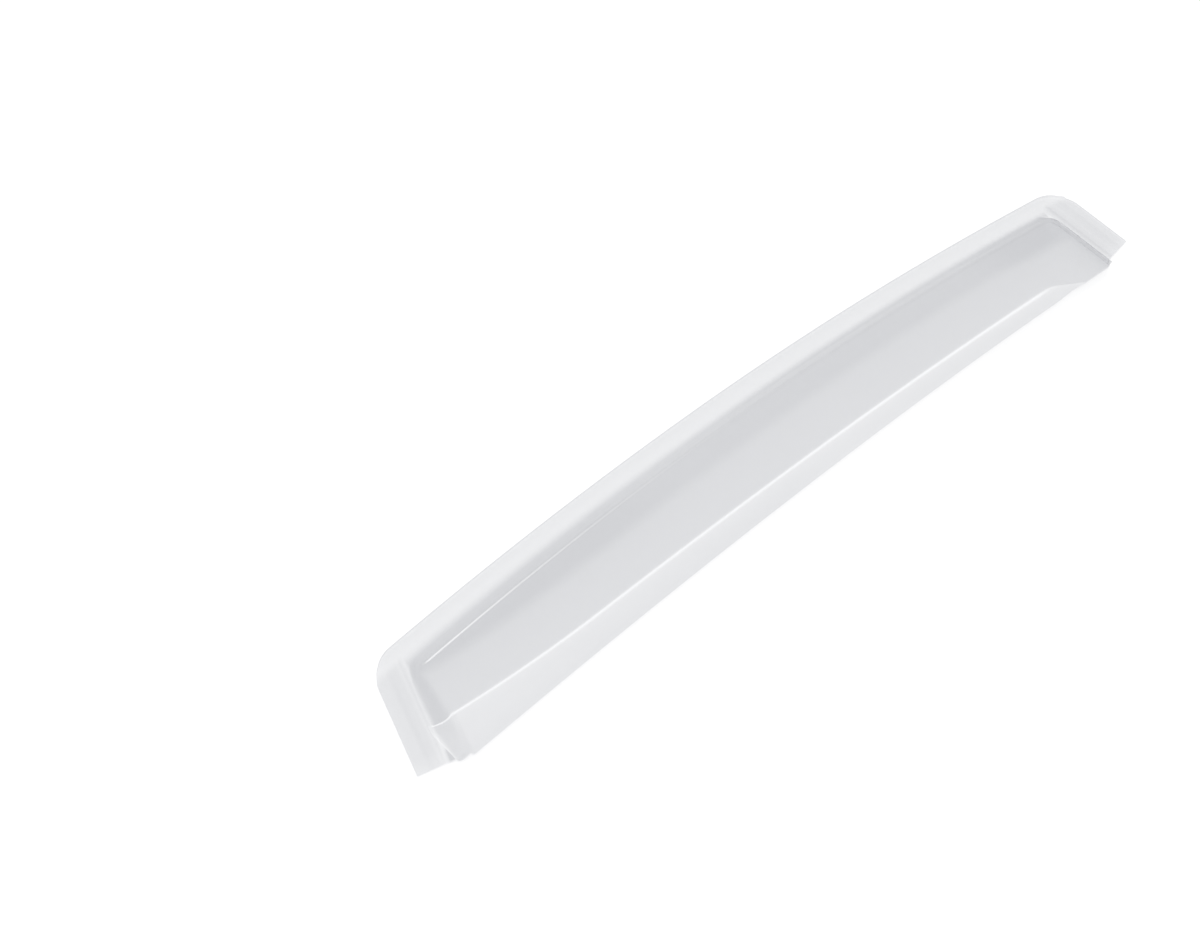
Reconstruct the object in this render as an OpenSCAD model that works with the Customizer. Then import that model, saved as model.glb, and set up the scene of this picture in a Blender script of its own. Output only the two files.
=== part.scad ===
// Window rain deflector for the left side door of a car or truck, moulded in one piece
// from clear sheet. Millimetres. X runs along the door from front to rear, Y runs up the
// door, and Z points outwards from the glass. The flange lies flat with its back on Z = 0,
// and the origin is under the middle of the part.
//
// The design plane has its own origin at the front lower corner of the flange. Every point
// of the sheet is found there from a distance to the roof edge or an end edge, and a height.

/* [Outline] */
// Length between the front and rear lower corners of the flange
sill_len = 827; // [700:1:1000]
// Lean of the front end from the sill line, in degrees
front_lean = 61; // [52:1:88]
// Lean of the rear end from the sill line, in degrees
rear_lean = 72; // [62:1:92]
// Height of the roof edge over the lower corners, at its crown
crown_h = 115.5; // [108:0.5:140]
// Distance from the front lower corner to the crown
crown_x = 424; // [340:1:460]
// Radius of the roof edge in front of the crown
roof_front_r = 3900; // [2400:50:8000]
// Radius of the roof edge behind the crown
roof_rear_r = 3150; // [2800:50:9000]
// Length of edge taken up by the rounded front upper corner
front_corner = 20; // [14:1:32]
// Length of edge taken up by the rounded rear upper corner
rear_corner = 27; // [16:1:36]

/* [Flange] */
// Width of the flange along the roof edge
roof_flange_w = 20.5; // [19:0.5:28]
// Width of the flange at the front end
front_flange_w = 23.5; // [23:0.5:30]
// Width of the flange at the rear end
rear_flange_w = 32.5; // [26:0.5:38]
// Thickness of the sheet
sheet_t = 3; // [2.5:0.1:3.3]
// Thickness of the outer tongue on both end flanges
tongue_t = 1.6; // [1.2:0.1:1.8]
// Thickness of the ledge between the tongue and the full sheet
ledge_t = 2.3; // [2:0.1:2.4]
// Width of the tongue
tongue_w = 8.5; // [6:0.5:10]
// Width of the tongue and the ledge together
ledge_w = 18.5; // [15:0.5:19]
// Width of each sloped shoulder between two thicknesses
shoulder_w = 1; // [0.6:0.1:1.5]
// Distance from the roof edge to the upper end of the steps
step_top = 14; // [10:0.5:15]
// Outward bulge of the rounded rim
rim_round = 0.7; // [0.3:0.1:1.2]

/* [Visor] */
// Rise of the visor at the top of the roof side wall
wall_rise = 9; // [7:0.5:11]
// Rise of the visor at the lower crease
crease_rise = 16; // [13:0.5:18]
// Rise of the visor at its lower edge, under the lip
edge_rise = 10; // [8:0.5:12]
// Rise of the visor at its lower edge, behind the lip
rear_rise = 10; // [9:0.5:13]
// Crowning of the panel between its two creases
panel_crown = 1; // [0:0.1:2]
// Slope of the roof side wall, in degrees
roof_wall_slope = 29; // [26:1:36]
// Slope of the front wall, in degrees
front_wall_slope = 52; // [48:1:53]
// Slope of the rear wall, in degrees
rear_wall_slope = 51; // [46:1:53]
// Radius in plan of the upper corners of the panel
panel_corner = 9; // [4:0.5:14]

/* [Lip and lower edge] */
// Width of the lip at the front
lip_front_w = 22.5; // [18:0.5:28]
// Width of the lip at the rear, before it fades
lip_rear_w = 10.5; // [7:0.5:16]
// Distance from the rear lower corner to the place where the lip starts to fade
fade_start = 122; // [110:1:180]
// Distance from the rear lower corner to the end of the lip
fade_end = 85; // [66:1:96]
// How far the crease runs up the sheet before it meets the front wall
crease_flare = 9; // [4:1:14]
// Length over which the crease runs up
flare_len = 140; // [90:5:170]
// How far the crease runs up while it goes down the front wall
crease_climb = 17; // [6:1:18]
// Drop of the lower edge under the corners, at its crown
edge_drop = 9.5; // [8:0.5:16]
// Distance from the front lower corner to the crown of the lower edge
edge_crown_x = 462; // [400:1:520]
// Radius of the lower edge in front of its crown
edge_front_r = 7900; // [5000:100:20000]
// Radius of the lower edge behind its crown
edge_rear_r = 6200; // [4500:100:20000]
// Drop of the lower edge at the foot of the front wall
front_foot_drop = 6.5; // [3:0.5:7]
// Drop of the lower edge at the foot of the rear wall
rear_foot_drop = 5; // [2:0.5:6]

/* [Resolution] */
// Facets along the visor from the front wall to the place where the lip fades
long_n = 28; // [16:1:40]
// Facets along the visor from there to the rear wall
fade_n = 14; // [8:1:20]
// Facets across the panel
panel_n = 5; // [3:1:8]

/* [Hidden] */

// Soft foot and tight head of a wall, as shares of its run
foot_soft = 0.3;
head_soft = 0.14;
// Height over which the lower crease is rounded
crease_soft = 1.4;
// Step used to find the slope of the sheet
probe = 0.05;
// How fast the crease leaves its line, and how far it is carried on past the lower edge
fade_power = 1.8;
fade_reach = 1.5;
// How much closer the columns lie at the front wall than in the middle
front_crowd = 3;
// Share of the front wall's width over which the crease climbs it
climb_share = 0.75;
// Space kept between the crease row and the lower edge where the lip has gone
row_gap = 4;
// Turns of substitution that find where a column and a row cross, and the share of the way
// that each turn goes
turns = 16;
turn_share = 0.6;

// The outline

// Roof edge, two long arcs that meet at the crown
function roof_y(x) =
    let (r = x < crown_x ? roof_front_r : roof_rear_r, away = x - crown_x)
    crown_h - r + sqrt(r * r - away * away);
// Front and rear end edges, straight and leaning
function front_x(y) = y / tan(front_lean);
function rear_x(y) = sill_len + y / tan(rear_lean);
// Square distance into the sheet from each end edge
function from_front(x, y) = (x - front_x(y)) * sin(front_lean);
function from_rear(x, y) = (rear_x(y) - x) * sin(rear_lean);

function clamp01(t) = min(1, max(0, t));
function smooth(t) = let (c = clamp01(t)) c * c * (3 - 2 * c);
function mix(a, b, t) = a + (b - a) * t;

// Places along X where the flange meets the visor at the lower edge
front_foot_x = front_flange_w / sin(front_lean);
rear_foot_x = sill_len - rear_flange_w / sin(rear_lean);
// The lower edge starts its sweep down this far out on each flange, and takes this length
front_lead = 6;
front_sweep = 18;
rear_lead = 3;
rear_sweep = 24;

// Lower edge: two long arcs under the visor, and a short slope under each end flange
function long_edge_y(x) =
    -edge_drop
        - pow(x - edge_crown_x, 2) / 2 / (x < edge_crown_x ? edge_front_r : edge_rear_r);
function front_foot_y(x) = -front_foot_drop * x / front_foot_x;
function rear_foot_y(x) = -rear_foot_drop * (sill_len - x) / (sill_len - rear_foot_x);
function edge_y(x) =
    x < crown_x
        ? mix(front_foot_y(x), long_edge_y(x), smooth((x - front_foot_x + front_lead) / front_sweep))
        : mix(rear_foot_y(x), long_edge_y(x), smooth((rear_foot_x + rear_lead - x) / rear_sweep));

// The creases

// Roof side crease, at the top of the roof wall
roof_wall_run = wall_rise / tan(roof_wall_slope);
function head_y(x) = roof_y(x) - roof_flange_w - roof_wall_run;
// Lower crease: it runs up at the front, and fades into the lower edge at the rear
function lip_w(x) =
    mix(lip_front_w, lip_rear_w, clamp01(x / (sill_len - fade_start)));
// 0 where the lip starts to fade, and 1 where it has gone
function fade(x) = max(0, (x - sill_len + fade_start) / (fade_start - fade_end));
// Width in plan of the front wall where the crease goes down it, and where it starts to
climb_run = crease_rise / tan(front_wall_slope) / sin(front_lean);
climb_x = front_foot_x + climb_run
    + front_x(long_edge_y(front_foot_x) + lip_front_w + crease_flare);
function flare(x) =
    let (t = clamp01(1 - (x - climb_x) / flare_len))
    crease_flare * t * t + crease_climb * smooth((climb_x - x) / climb_run / climb_share);
function crease_y(x) =
    long_edge_y(x) + lip_w(x) * (1 - pow(min(fade(x), fade_reach), fade_power)) + flare(x);
function crease_h(x) = mix(crease_rise, rear_rise, smooth(fade(x)));

// The height of the back of the sheet over the flange plane

// Zero, then a straight rise, with a parabola between them
function soft_foot(t, b) = t <= -b ? 0 : t < b ? (t + b) * (t + b) / (4 * b) : t;
// A wall from 0 to 1, soft at its foot and tight at its head
function wall(t) = t < 0.5 ? soft_foot(t, foot_soft) : 1 - soft_foot(1 - t, head_soft);
// Lower of two heights, rounded where they cross
function soft_min(a, b, k) = let (h = max(k - abs(a - b), 0)) min(a, b) - h * h / (4 * k);

// Share of the way from the roof side crease to the lower crease
function panel_share(x, y) = (head_y(x) - y) / (head_y(x) - crease_y(x));
function panel_h(x, y) =
    let (s = max(0, panel_share(x, y)))
    mix(wall_rise, crease_h(x), s) + panel_crown * 4 * s * max(0, 1 - s);
// The lip falls from the crease to the lower edge
function lip_slope(x) = (crease_h(x) - edge_rise) / (lip_w(x) + flare(x));
function lip_h(x, y) = crease_h(x) - lip_slope(x) * (crease_y(x) - y);
function visor_h(x, y) = soft_min(panel_h(x, y), lip_h(x, y), crease_soft);

// Run of each end wall, which grows with the height of the panel it carries
function side_run(x, y, slope) = min(panel_h(x, y), crease_h(x)) / tan(slope);
// Distance outside the panel as a share of the wall, with the corners rounded in plan
function outside(x, y) =
    let (front = side_run(x, y, front_wall_slope), rear = side_run(x, y, rear_wall_slope),
         soft = panel_corner / roof_wall_run,
         up = 1 - (roof_y(x) - y - roof_flange_w) / roof_wall_run,
         fore = 1 - (from_front(x, y) - front_flange_w) / front,
         aft = 1 - (from_rear(x, y) - rear_flange_w) / rear)
    norm([max(0, up + soft), max(0, max(fore, aft) + soft)]) - soft;
function back_h(x, y) = wall(min(1, 1 - outside(x, y))) * visor_h(x, y);

// The thickness of the sheet

function step_up(d, at) = clamp01((d - at) / shoulder_w + 0.5);
function stepped(d) =
    tongue_t + (ledge_t - tongue_t) * step_up(d, tongue_w)
        + (sheet_t - ledge_t) * step_up(d, ledge_w);
function thickness(x, y) =
    mix(sheet_t, min(stepped(from_front(x, y)), stepped(from_rear(x, y))),
        step_up(roof_y(x) - y, step_top));

// The mesh: rows run along the door, columns run up it

// Shares of a wall at which rows and columns lie, from the foot to the head
wall_shares = [-foot_soft, -foot_soft / 3, foot_soft / 3, foot_soft, 0.6, 1 - head_soft, 1,
               1 + head_soft];
half_step = shoulder_w / 2;
// Distances from the end edge of the columns on a flange of width w
function flange_steps(w) =
    [0, tongue_w / 3, tongue_w * 2 / 3, tongue_w - half_step, tongue_w + half_step,
     (tongue_w + ledge_w) / 2, ledge_w - half_step, ledge_w + half_step];
// Distances from the roof edge of the rows on the roof flange
roof_steps = [0, step_top / 4, step_top / 2, step_top * 3 / 4, step_top - half_step,
              step_top + half_step];

n_flange = len(flange_steps(1));
n_wall = len(wall_shares);
n_end = n_flange + n_wall;
n_mid = long_n + fade_n - 1;
n_cols = 2 * n_end + n_mid;
n_roof = len(roof_steps) + n_wall;
lip_shares = [-0.16, 0, 0.16, 0.45, 0.72, 1];
n_rows = n_roof + panel_n - 1 + len(lip_shares);

// X of column i at height y
function end_d(k, w, run) =
    k < n_flange ? flange_steps(w)[k] : w + run * wall_shares[k - n_flange];
function front_col(k, x, y) =
    front_x(y) + end_d(k, front_flange_w, side_run(x, y, front_wall_slope)) / sin(front_lean);
function rear_col(k, x, y) =
    rear_x(y) - end_d(k, rear_flange_w, side_run(x, y, rear_wall_slope)) / sin(rear_lean);
function crowded(t) = (t + front_crowd * t * t) / (1 + front_crowd);
function mid_col(k, x, y) =
    let (a = front_col(n_end - 1, x, y), b = rear_col(n_end - 1, x, y),
         turn = sill_len - fade_start)
    k <= long_n ? mix(a, turn, crowded(k / long_n)) : mix(turn, b, (k - long_n) / fade_n);
function col_x(i, x, y) =
    i < n_end ? front_col(i, x, y)
    : i < n_end + n_mid ? mid_col(i - n_end + 1, x, y)
    : rear_col(n_cols - 1 - i, x, y);

// Y of row j at length x
function row_crease(x) = max(crease_y(x), edge_y(x) + row_gap);
function row_head(x) = head_y(x) - roof_wall_run * head_soft;
function row_lip(j, x) =
    let (s = lip_shares[j], c = row_crease(x), w = c - edge_y(x))
    c - w * s;
function row_y(j, x) =
    j < len(roof_steps) ? roof_y(x) - roof_steps[j]
    : j < n_roof ? roof_y(x) - roof_flange_w - roof_wall_run * wall_shares[j - len(roof_steps)]
    : j < n_roof + panel_n - 1
        ? mix(row_head(x), row_lip(0, x), (j - n_roof + 1) / panel_n)
    : row_lip(j - n_roof - panel_n + 1, x);

// Where column i and row j cross, found by a few turns of substitution
function cross_at(i, j, x, y, left = turns) =
    left == 0 ? [x, y]
    : let (nx = mix(x, col_x(i, x, y), turn_share)) cross_at(i, j, nx, row_y(j, nx), left - 1);

// Rounding of an upper corner: the square of side r beside it is drawn into a quarter disc,
// its outer edges most
function corner_pull(a, b, r) =
    let (s = max(0, r - a), t = max(0, r - b), level = max(s, t))
    s == 0 || t == 0 ? [0, 0] : [s, t] * (1 - level / norm([s, t])) * level / r;
function rounded(p) =
    let (drop = roof_y(p.x) - p.y,
         f = corner_pull(p.x - front_x(p.y), drop, front_corner),
         r = corner_pull(rear_x(p.y) - p.x, drop, rear_corner),
         f_tilt = 1 / tan(front_lean), r_tilt = 1 / tan(rear_lean))
    [p.x + f[0] - f[1] * f_tilt - r[0] - r[1] * r_tilt, p.y - f[1] - r[1]];

// The two skins of the sheet

grid = [for (i = [0 : n_cols - 1]) [for (j = [0 : n_rows - 1])
    rounded(cross_at(i, j, i < n_cols / 2 ? 0 : sill_len, crown_h / 2))]];
all_x = [for (col = grid) each [for (p = col) p.x]];
all_y = [for (col = grid) each [for (p = col) p.y]];
centre = [(min(all_x) + max(all_x)) / 2, (min(all_y) + max(all_y)) / 2];

function slope_at(x, y) =
    [(back_h(x + probe, y) - back_h(x - probe, y)) / (2 * probe),
     (back_h(x, y + probe) - back_h(x, y - probe)) / (2 * probe)];
function square_out(x, y) =
    let (g = slope_at(x, y), v = [-g.x, -g.y, 1]) v / norm(v);
function back_point(p) = [p.x, p.y, back_h(p.x, p.y)];
function face_point(p) = back_point(p) + thickness(p.x, p.y) * square_out(p.x, p.y);

// The border of the grid, once round, and the neighbour that each point faces away from
border = concat(
    [for (i = [0 : n_cols - 2]) [i, 0]],
    [for (j = [0 : n_rows - 2]) [n_cols - 1, j]],
    [for (i = [n_cols - 1 : -1 : 1]) [i, n_rows - 1]],
    [for (j = [n_rows - 1 : -1 : 1]) [0, j]]);
function inner(ij) =
    [min(max(ij[0], 1), n_cols - 2), min(max(ij[1], 1), n_rows - 2)];
function rim_point(ij) =
    let (p = grid[ij[0]][ij[1]], q = grid[inner(ij)[0]][inner(ij)[1]],
         a = back_point(p), b = face_point(p), way = p - q)
    (a + b) / 2 + rim_round * [way.x, way.y, 0] / norm(way);

function at(i, j) = i * n_rows + j;
function quad(a, b, c, d) = [[a, c, b], [a, d, c]];

// The whole deflector: the back skin, the face skin and the rounded rim between them
module deflector() {
    back = [for (col = grid) each [for (p = col) back_point(p)]];
    face = [for (col = grid) each [for (p = col) face_point(p)]];
    rim = [for (ij = border) rim_point(ij)];
    n = n_cols * n_rows;
    m = len(border);
    skins = [for (i = [0 : n_cols - 2]) for (j = [0 : n_rows - 2])
        each concat(
            quad(at(i, j), at(i + 1, j), at(i + 1, j + 1), at(i, j + 1)),
            quad(n + at(i, j + 1), n + at(i + 1, j + 1), n + at(i + 1, j), n + at(i, j)))];
    edges = [for (k = [0 : m - 1])
        let (a = border[k], b = border[(k + 1) % m],
             ia = at(a[0], a[1]), ib = at(b[0], b[1]),
             ra = 2 * n + k, rb = 2 * n + (k + 1) % m)
        each concat(quad(ia, ra, rb, ib), quad(ra, n + ia, n + ib, rb))];
    color([0.86, 0.88, 0.9, 0.5])
    translate([-centre.x, -centre.y, 0])
    polyhedron(points = concat(back, face, rim), faces = concat(skins, edges));
}

deflector();
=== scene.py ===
"""Window rain deflector in clear acrylic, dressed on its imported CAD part.

The moulded sheet is modelled afresh, finer than the CAD node it replaces. Its sizes are the same,
apart from the front wall's foot with the edge beside it, and slightly the lower edge and crease.
Sizes inside the classes are in millimetres on the design plane, whose origin is the front lower
corner of the flange; X runs to the rear, Y up the door and Z out from the glass. What goes into
Blender is in metres, in the part's frame.
"""

import logging
import math
from dataclasses import dataclass, field
from enum import Enum

import bpy
import numpy as np
from mathutils import Matrix, Vector


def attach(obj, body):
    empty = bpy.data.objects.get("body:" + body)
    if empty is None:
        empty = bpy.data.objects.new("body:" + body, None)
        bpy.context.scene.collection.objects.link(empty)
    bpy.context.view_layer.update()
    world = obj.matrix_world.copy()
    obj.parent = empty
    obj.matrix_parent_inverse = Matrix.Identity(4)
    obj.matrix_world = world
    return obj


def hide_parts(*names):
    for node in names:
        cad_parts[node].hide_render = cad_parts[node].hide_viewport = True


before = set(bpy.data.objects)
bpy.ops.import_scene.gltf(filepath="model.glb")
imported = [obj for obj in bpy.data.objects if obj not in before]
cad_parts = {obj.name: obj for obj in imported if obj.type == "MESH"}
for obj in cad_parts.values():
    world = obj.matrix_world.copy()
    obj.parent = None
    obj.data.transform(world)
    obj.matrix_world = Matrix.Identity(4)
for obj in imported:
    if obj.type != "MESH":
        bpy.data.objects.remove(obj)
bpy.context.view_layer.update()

Values = np.ndarray
Colour = tuple[float, float, float, float]
Place = tuple[float, float, float]

METRE = 0.001
TONE_MOST = 255
SRGB_OFFSET = 0.055
SRGB_POWER = 2.4
MIX_FROM, MIX_TO, MIXED = 6, 7, 2  # A, B and Result of a Mix node that mixes colours
log = logging.getLogger("deflector")


def clamp01(t: Values) -> Values:
    """Values held between 0 and 1."""
    return np.clip(t, 0.0, 1.0)


def smooth(t: Values) -> Values:
    """A soft step from 0 to 1."""
    c = clamp01(t)
    return c * c * (3 - 2 * c)


def ramp(d: Values, start: Values, reach: Values) -> Values:
    """A soft step that leaves 0 at a start and comes to 1 a reach beyond it."""
    return smooth((d - start) / reach)


def mix(a: Values, b: Values, t: Values) -> Values:
    """The value that lies a share t of the way from a to b."""
    return a + (b - a) * t


def light_level(tone: Values) -> Values:
    """Share of white light that a tone from 0 to 255 stands for."""
    return ((tone / TONE_MOST + SRGB_OFFSET) / (1 + SRGB_OFFSET)) ** SRGB_POWER


def tangent(degrees: float) -> float:
    """Tangent of an angle in degrees."""
    return math.tan(math.radians(degrees))


def sine(degrees: float) -> float:
    """Sine of an angle in degrees."""
    return math.sin(math.radians(degrees))


@dataclass(frozen=True)
class Outline:
    """The edges of the sheet, seen square on, and the widths of its flange."""

    # Long edges, the lean of both ends and the upper corners
    sill_len: float = 827.0
    front_lean: float = 61.0
    rear_lean: float = 72.0
    crown_h: float = 115.5
    crown_x: float = 424.0
    roof_front_r: float = 3900.0
    roof_rear_r: float = 3150.0
    front_corner: float = 20.0
    rear_corner: float = 27.0

    # Flange
    roof_flange_w: float = 20.5
    front_flange_w: float = 23.5
    rear_flange_w: float = 32.5

    # Lower edge: its arcs, the slopes under the end flanges and how they run into the arcs
    edge_drop: float = 9.5
    edge_crown_x: float = 462.0
    edge_front_r: float = 8000.0
    edge_rear_r: float = 6200.0
    front_foot_drop: float = 7.7
    rear_foot_drop: float = 5.0
    front_lead: float = 0.4
    front_sweep: float = 5.6
    rear_lead: float = 3.0
    rear_sweep: float = 24.0

    @property
    def front_foot_x(self) -> float:
        """Where the front flange meets the visor at the lower edge."""
        return self.front_flange_w / sine(self.front_lean)

    @property
    def rear_foot_x(self) -> float:
        """Where the rear flange meets the visor at the lower edge."""
        return self.sill_len - self.rear_flange_w / sine(self.rear_lean)

    def roof_y(self, x: Values) -> Values:
        """Roof edge: two long arcs that meet at the crown."""
        r = np.where(x < self.crown_x, self.roof_front_r, self.roof_rear_r)
        return self.crown_h - r + np.sqrt(r * r - (x - self.crown_x) ** 2)

    def front_x(self, y: Values) -> Values:
        """Front end edge, straight and leaning."""
        return y / tangent(self.front_lean)

    def rear_x(self, y: Values) -> Values:
        """Rear end edge, straight and leaning."""
        return self.sill_len + y / tangent(self.rear_lean)

    def from_front(self, x: Values, y: Values) -> Values:
        """Square distance into the sheet from the front end edge."""
        return (x - self.front_x(y)) * sine(self.front_lean)

    def from_rear(self, x: Values, y: Values) -> Values:
        """Square distance into the sheet from the rear end edge."""
        return (self.rear_x(y) - x) * sine(self.rear_lean)

    def long_edge_y(self, x: Values) -> Values:
        """The two long arcs of the lower edge, which meet at its crown."""
        r = np.where(x < self.edge_crown_x, self.edge_front_r, self.edge_rear_r)
        return -self.edge_drop - (x - self.edge_crown_x) ** 2 / (2 * r)

    def edge_y(self, x: Values) -> Values:
        """Lower edge: the long arc under the visor and a short slope under each end flange.

        Args:
            x: X of the points.

        Returns:
            Y of the edge there.
        """
        front = -self.front_foot_drop * x / self.front_foot_x
        rear = -self.rear_foot_drop * (self.sill_len - x) / (self.sill_len - self.rear_foot_x)
        arc = self.long_edge_y(x)
        fore = mix(front, arc, smooth((x - self.front_foot_x + self.front_lead) / self.front_sweep))
        aft = mix(rear, arc, smooth((self.rear_foot_x + self.rear_lead - x) / self.rear_sweep))
        return np.where(x < self.crown_x, fore, aft)

    def corner_pull(self, a: Values, b: Values, r: float) -> tuple[Values, Values]:
        """How far a point moves in when the square beside a corner is drawn into a quarter disc.

        Args:
            a: Distance from the end edge.
            b: Distance from the roof edge.
            r: Side of the square.

        Returns:
            The two moves, along X and down Y.
        """
        s, t = np.maximum(0, r - a), np.maximum(0, r - b)
        inside = (s > 0) & (t > 0)
        level = np.maximum(s, t)
        pull = (1 - level / np.maximum(np.hypot(s, t), 1e-9)) * level / r
        return np.where(inside, s * pull, 0.0), np.where(inside, t * pull, 0.0)

    def rounded(self, x: Values, y: Values) -> tuple[Values, Values]:
        """Points with the two upper corners of the sheet rounded.

        Args:
            x: X of the points.
            y: Y of the points.

        Returns:
            The X and the Y of the moved points.
        """
        drop = self.roof_y(x) - y
        f_along, f_down = self.corner_pull(x - self.front_x(y), drop, self.front_corner)
        r_along, r_down = self.corner_pull(self.rear_x(y) - x, drop, self.rear_corner)
        new_x = x + f_along - f_down / tangent(self.front_lean)
        new_x -= r_along + r_down / tangent(self.rear_lean)
        return new_x, y - f_down - r_down


@dataclass(frozen=True)
class Moulding:
    """The height of the back of the sheet over the flange plane, and its thickness."""

    outline: Outline = field(default_factory=Outline)

    # Heights of the back of the sheet
    wall_rise: float = 9.0
    crease_rise: float = 15.96
    edge_rise: float = 10.0
    rear_rise: float = 10.0
    panel_crown: float = 1.0

    # Walls, and the foot of the front one, which turns in below foot_turn_y
    roof_wall_slope: float = 29.0
    front_wall_slope: float = 52.0
    rear_wall_slope: float = 51.0
    panel_corner: float = 9.0
    foot_turn: float = 0.22
    foot_turn_y: float = 18.0
    foot_turn_most: float = 0.8

    # Lip and lower crease, which flares and climbs at the front and fades at the rear
    lip_front_w: float = 22.5
    lip_rear_w: float = 10.5
    fade_start: float = 122.0
    fade_end: float = 85.0
    fade_power: float = 1.8
    fade_reach: float = 1.5
    crease_flare: float = 9.0
    flare_len: float = 140.0
    crease_climb: float = 17.0
    climb_share: float = 0.75

    # How softly the forms meet: shares of a wall, and a height along the crease
    foot_soft: float = 0.3
    head_soft: float = 0.14
    crease_soft: float = 1.0

    # Thickness, stepped down to a ledge and a tongue at both ends
    sheet_t: float = 3.0
    tongue_t: float = 1.6
    ledge_t: float = 2.3
    tongue_w: float = 8.5
    ledge_w: float = 18.5
    shoulder_w: float = 1.0
    step_top: float = 14.0

    @property
    def roof_wall_run(self) -> float:
        """Width of the roof side wall in plan."""
        return self.wall_rise / tangent(self.roof_wall_slope)

    def head_y(self, x: Values) -> Values:
        """Roof side crease, at the top of the roof wall."""
        return self.outline.roof_y(x) - self.outline.roof_flange_w - self.roof_wall_run

    def lip_w(self, x: Values) -> Values:
        """Width of the lip before it fades."""
        t = clamp01(x / (self.outline.sill_len - self.fade_start))
        return mix(self.lip_front_w, self.lip_rear_w, t)

    def fade(self, x: Values) -> Values:
        """0 where the lip starts to fade and 1 where it has gone."""
        start = self.outline.sill_len - self.fade_start
        return np.maximum(0, (x - start) / (self.fade_start - self.fade_end))

    @property
    def climb_run(self) -> float:
        """Width in plan of the front wall where the lower crease goes down it."""
        return self.crease_rise / tangent(self.front_wall_slope) / sine(self.outline.front_lean)

    @property
    def climb_x(self) -> float:
        """Where the lower crease meets the head of the front wall.

        Returns:
            X of the place.
        """
        plan = self.outline
        level = plan.long_edge_y(plan.front_foot_x) + self.lip_front_w + self.crease_flare
        return plan.front_foot_x + self.climb_run + float(plan.front_x(level))

    def flare(self, x: Values) -> Values:
        """Rise of the lower crease as it runs up to the front wall and down it.

        Args:
            x: X of the points.

        Returns:
            How far the crease lies above its long arc.
        """
        t = clamp01(1 - (x - self.climb_x) / self.flare_len)
        climb = smooth((self.climb_x - x) / self.climb_run / self.climb_share)
        return self.crease_flare * t * t + self.crease_climb * climb

    def crease_y(self, x: Values) -> Values:
        """Lower crease, which fades into the lower edge at the rear."""
        left = 1 - np.minimum(self.fade(x), self.fade_reach) ** self.fade_power
        return self.outline.long_edge_y(x) + self.lip_w(x) * left + self.flare(x)

    def crease_h(self, x: Values) -> Values:
        """Height of the lower crease."""
        return mix(self.crease_rise, self.rear_rise, smooth(self.fade(x)))

    def panel_share(self, x: Values, y: Values) -> Values:
        """Share of the way from the roof side crease to the lower crease."""
        head = self.head_y(x)
        return (head - y) / (head - self.crease_y(x))

    def panel_h(self, x: Values, y: Values) -> Values:
        """Height of the crowned panel, carried on past its edges."""
        s = np.maximum(0, self.panel_share(x, y))
        return mix(self.wall_rise, self.crease_h(x), s) + self.panel_crown * 4 * s * np.maximum(0, 1 - s)

    def visor_h(self, x: Values, y: Values) -> Values:
        """Lower of the panel and the lip, rounded along the crease where they cross.

        Args:
            x: X of the points.
            y: Y of the points.

        Returns:
            Heights over the flange plane.
        """
        panel, top = self.panel_h(x, y), self.crease_h(x)
        slope = (top - self.edge_rise) / (self.lip_w(x) + self.flare(x))
        lip = top - slope * (self.crease_y(x) - y)
        near = np.maximum(self.crease_soft - np.abs(panel - lip), 0)
        return np.minimum(panel, lip) - near * near / (4 * self.crease_soft)

    def side_run(self, x: Values, y: Values, slope: float) -> Values:
        """Width in plan of an end wall, which grows with the height that it carries."""
        return np.minimum(self.panel_h(x, y), self.crease_h(x)) / tangent(slope)

    def front_wall(self, x: Values, y: Values) -> tuple[Values, Values]:
        """The front wall, whose foot turns in by the lower edge under a straight head.

        Args:
            x: X of the points.
            y: Y of the points.

        Returns:
            Distance from the front end to the foot, and the wall's width in plan.
        """
        run = self.side_run(x, y, self.front_wall_slope)
        turn = np.minimum(self.foot_turn * np.maximum(0, self.foot_turn_y - y), self.foot_turn_most * run)
        return self.outline.front_flange_w + turn, run - turn

    def outside(self, x: Values, y: Values) -> Values:
        """Distance outside the panel as a share of the wall, its corners rounded in plan.

        Args:
            x: X of the points.
            y: Y of the points.

        Returns:
            Shares: 0 at the wall's head and 1 at its foot.
        """
        plan, soft = self.outline, self.panel_corner / self.roof_wall_run
        up = 1 - (plan.roof_y(x) - y - plan.roof_flange_w) / self.roof_wall_run
        foot, run = self.front_wall(x, y)
        fore = 1 - (plan.from_front(x, y) - foot) / run
        aft = 1 - (plan.from_rear(x, y) - plan.rear_flange_w) / self.side_run(x, y, self.rear_wall_slope)
        side = np.maximum(0, np.maximum(fore, aft) + soft)
        return np.hypot(np.maximum(0, up + soft), side) - soft

    def wall(self, t: Values) -> Values:
        """A wall from 0 to 1, soft at its foot and tight at its head.

        Args:
            t: Place on the wall, 0 at its foot and 1 at its head, and less on the flange.

        Returns:
            Share of the height that the wall has there.
        """

        def soft_foot(s: Values, b: float) -> Values:
            """Zero, then a straight rise, with a parabola between them."""
            return np.where(s <= -b, 0.0, np.where(s < b, (s + b) ** 2 / (4 * b), s))

        return np.where(t < 0.5, soft_foot(t, self.foot_soft), 1 - soft_foot(1 - t, self.head_soft))

    def back_h(self, x: Values, y: Values) -> Values:
        """Height of the back of the sheet."""
        return self.wall(np.minimum(1, 1 - self.outside(x, y))) * self.visor_h(x, y)

    def thickness(self, x: Values, y: Values) -> Values:
        """Thickness of the sheet, with the tongue and the ledge stepped down at both ends.

        Args:
            x: X of the points.
            y: Y of the points.

        Returns:
            Thicknesses.
        """

        def step_up(d: Values, at: float) -> Values:
            """0 before a shoulder and 1 after it."""
            return smooth((d - at) / self.shoulder_w + 0.5)

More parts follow.
